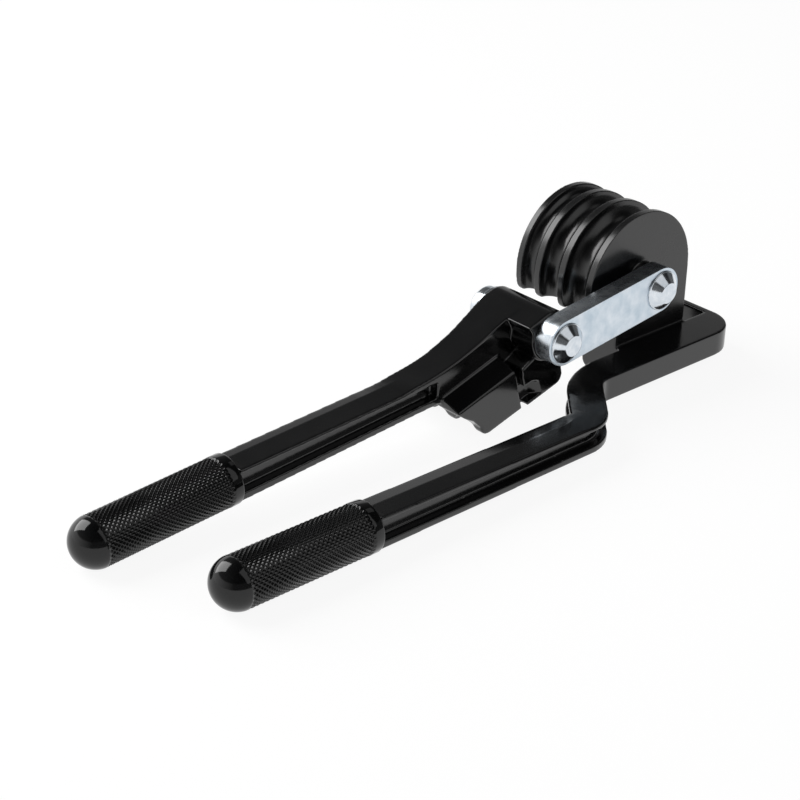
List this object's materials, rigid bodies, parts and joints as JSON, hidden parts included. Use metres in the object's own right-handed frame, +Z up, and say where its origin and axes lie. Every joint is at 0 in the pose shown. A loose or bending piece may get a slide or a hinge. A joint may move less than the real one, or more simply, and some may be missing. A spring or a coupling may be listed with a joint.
{
  "type": "tube bender",
  "caption": "Lever tube bender: grooved bending wheel and hook on one handle, grooved shoe on the other, joined by a riveted link, with knurled grips.",
  "frame": {"origin": "point of the underside of the foot straight below the wheel pin, in the plane of the near face of the wheel", "axes": "+X from the grips to the hook, +Y along the pins from the link to the smallest groove, +Z up from the table"},
  "size_m": [0.2553, 0.0778, 0.0575],
  "materials": {
    "black_paint": "gloss black paint on cast metal",
    "zinc": "bright bluish zinc plating",
    "grip_black": "glossy black moulded grip with a fine knurl"
  },
  "bodies": {
    "wheel_side": {"bending_wheel": "black_paint", "wheel_handle": "black_paint", "wheel_grip": "grip_black"},
    "link": {"link_plate": "zinc", "wheel_rivet": "zinc", "shoe_rivet": "zinc", "rivet_washers": "zinc"},
    "shoe_side": {"shoe_handle": "black_paint", "shoe_grip": "grip_black"}
  },
  "joints": [
    {"name": "link_pivot", "type": "hinge", "parent": "wheel_side", "child": "link", "pos_m": [0, 0, 0.03355], "axis": [0, 1, 0], "range_deg": [0, 187]},
    {"name": "shoe_pivot", "type": "hinge", "parent": "link", "child": "shoe_side", "pos_m": [-0.04434, 0, 0.02787], "axis": [0, 1, 0], "range_deg": [-81.5, 40]}
  ]
}
